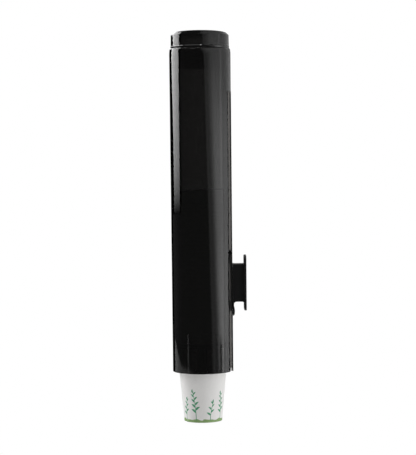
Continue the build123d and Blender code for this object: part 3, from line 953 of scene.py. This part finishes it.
def low_glow(azimuth, height):
    """Pale patch near the floor at the left, brighter and higher towards the back, and one thin
    upright line in front of it. Its ceiling and its level follow tables over the azimuth.
    """
    ceiling = np.interp(azimuth, *zip(*PATCH_CEILING))
    patch = np.interp(azimuth, *zip(*PATCH_LEVEL)) * (1 - smooth(height, ceiling - 8, ceiling + 8))
    line = 0.6 * bell(azimuth, -56, 2.2)
    return np.maximum(np.maximum(patch, line), ROOM_GLOW)


def fill_glow(azimuth, height):
    """Low fill for matt surfaces: bright at both sides and dim in front."""
    return 0.28 + 1.4 * smooth(azimuth, 15, 60) + 1.6 * smooth(-azimuth, 60, 105)


def ground_glow(azimuth, height):
    """Card on the ground: black at the left and pale at the right."""
    return 0.45 * smooth(azimuth, 4, 14)


def card_glow(azimuth, height):
    """Black card."""
    return 0 * azimuth


# %% [markdown]
# The front light and the cards are there for reflections alone, and the fill for matt surfaces
# alone, so each is hidden from the rays that it shouldn't reach.

# %% Place the panels
panel("left_panel", (-176, -82), (65, 1415), 1000, left_glow, spacing=(0.5, 15.0))
panel("right_panel", (4, 172), (-500, 2490), 1200, right_glow)
panel("low_panel", (-130, -30), (-515, -180), 1000, low_glow, spacing=(1.0, 5.0))
fill_panel = panel("fill_panel", (-150, 150), (-500, -80), 900, fill_glow, spacing=(5.0, 60.0))
fill_panel.visible_glossy = fill_panel.visible_shadow = False
mirrored_only = (
    panel("front_panel", (-81, 15), (920, 2165), 1000, front_glow, spacing=(1.0, 15.0)),
    panel("black_card_side", (-90, -78), (80, 1480), 1050, card_glow, spacing=(4.0, 200.0)),
    panel("black_card_back", (-180, -136), (-520, 1480), 1050, card_glow, spacing=(4.0, 200.0)),
    panel("ground_card", (-180, 180), (15, 1215), 0, ground_glow, spacing=(2.0, 80.0), flat_at=-519),
)
for card in mirrored_only:
    card.visible_diffuse = card.visible_shadow = False
print(len(mirrored_only), "panels are seen in reflections alone")

# %% [markdown]
# The room is white to the camera, seen directly or through the tinted wall, and a softer even
# sky to matt surfaces. Mirrors find it dark, apart from the white straight behind the object,
# which only the glancing reflections at its silhouette reach.

# %% World
SKY_LEVEL = 0.6
BEHIND_FROM, BEHIND_TO = -0.995, -0.99
world = bpy.data.worlds.new("studio")
world.use_nodes = True
bpy.context.scene.world = world
tree = world.node_tree
tree.nodes.clear()
ray = node(tree, "ShaderNodeLightPath").outputs
direct = node(tree, "ShaderNodeMath", {"operation": "LESS_THAN", 1: 0.5}, {0: ray["Diffuse Depth"]})
through = node(tree, "ShaderNodeMath", {"operation": "MULTIPLY"},
               {0: ray["Is Transmission Ray"], 1: direct.outputs["Value"]})
seen = node(tree, "ShaderNodeMath", {"operation": "MAXIMUM"},
            {0: ray["Is Camera Ray"], 1: through.outputs["Value"]})
level = node(tree, "ShaderNodeMapRange", {"To Min": SKY_LEVEL, "To Max": 1.0},
             Value=seen.outputs["Value"])
direction = node(tree, "ShaderNodeTexCoord")
axes = node(tree, "ShaderNodeSeparateXYZ", Vector=direction.outputs["Generated"])
behind = node(
    tree,
    "ShaderNodeMapRange",
    {"From Min": BEHIND_FROM, "From Max": BEHIND_TO, "To Min": 1.0, "To Max": ROOM_GLOW},
    Value=axes.outputs["X"],
)
mirrored = node(tree, "ShaderNodeMath", {"operation": "SUBTRACT", "use_clamp": True},
                {0: ray["Is Glossy Ray"], 1: ray["Is Transmission Ray"]})
strength = node(
    tree,
    "ShaderNodeMix",
    {"data_type": "FLOAT"},
    {VALUE_A: level.outputs["Result"], VALUE_B: behind.outputs["Result"]},
    Factor=mirrored.outputs["Value"],
)
sky = node(tree, "ShaderNodeBackground", {"Color": (1, 1, 1, 1)}, Strength=strength.outputs[VALUE_OUT])
node(tree, "ShaderNodeOutputWorld", Surface=sky.outputs["Background"])
print("world", world.name)

# %% [markdown]
# A pale floor half a metre below sends light up to the cup and the foot. To the camera it is as
# white as the room, and mirrors don't see it.

# %% Floor
FLOOR_HEIGHT, FLOOR_REACH = -520 * MM, 6.0
floor_mesh = bpy.data.meshes.new("floor")
floor_corners = [
    (-FLOOR_REACH, -FLOOR_REACH, FLOOR_HEIGHT),
    (FLOOR_REACH, -FLOOR_REACH, FLOOR_HEIGHT),
    (FLOOR_REACH, FLOOR_REACH, FLOOR_HEIGHT),
    (-FLOOR_REACH, FLOOR_REACH, FLOOR_HEIGHT),
]
floor_mesh.from_pydata(floor_corners, [], [(0, 1, 2, 3)])
floor = bpy.data.objects.new("floor", floor_mesh)
bpy.context.scene.collection.objects.link(floor)
floor_paint, tree, output = material("pale_floor")
ray = node(tree, "ShaderNodeLightPath").outputs
paint = node(tree, "ShaderNodeBsdfDiffuse", {"Color": linear("#e6e6e6")})
white = node(tree, "ShaderNodeEmission", {"Strength": 1.0})
seen = node(tree, "ShaderNodeMath", {"operation": "MAXIMUM"},
            {0: ray["Is Camera Ray"], 1: ray["Is Transmission Ray"]})
mixed = node(tree, "ShaderNodeMixShader", (), {1: paint.outputs["BSDF"], 2: white.outputs["Emission"]},
             Fac=seen.outputs["Value"])
tree.links.new(mixed.outputs["Shader"], output.inputs["Surface"])
floor_mesh.materials.append(floor_paint)
floor.visible_glossy = False
print("floor", FLOOR_HEIGHT)

# %% [markdown]
# ## The camera
#
# The photograph is a straight side view from about two and a half metres, with the eye near the
# upper third of the tube, so the lid's parting line bows upwards and the foot bows down. The
# whole picture leans half a degree.

# %% Camera
PHOTO_HEIGHT, FOCAL_PIXELS = 455, 1716
DISTANCE, EYE_HEIGHT, EYE_Y = 2.57, 0.1995, -0.0566
PITCH, ROLL = math.radians(2.6), math.radians(-0.54)
camera_data = bpy.data.cameras.new("photo_camera")
camera_data.lens = camera_data.sensor_width * FOCAL_PIXELS / PHOTO_HEIGHT
camera = bpy.data.objects.new("photo_camera", camera_data)
bpy.context.scene.collection.objects.link(camera)
camera.matrix_world = (
    Matrix.Translation((DISTANCE, EYE_Y, EYE_HEIGHT))
    @ Matrix.Rotation(math.radians(90), 4, "Z")
    @ Matrix.Rotation(math.radians(90) - PITCH, 4, "X")
    @ Matrix.Rotation(ROLL, 4, "Z")
)
bpy.context.scene.camera = camera
bpy.context.scene.view_settings.view_transform = "Standard"
print("lens", round(camera_data.lens, 1), "mm")
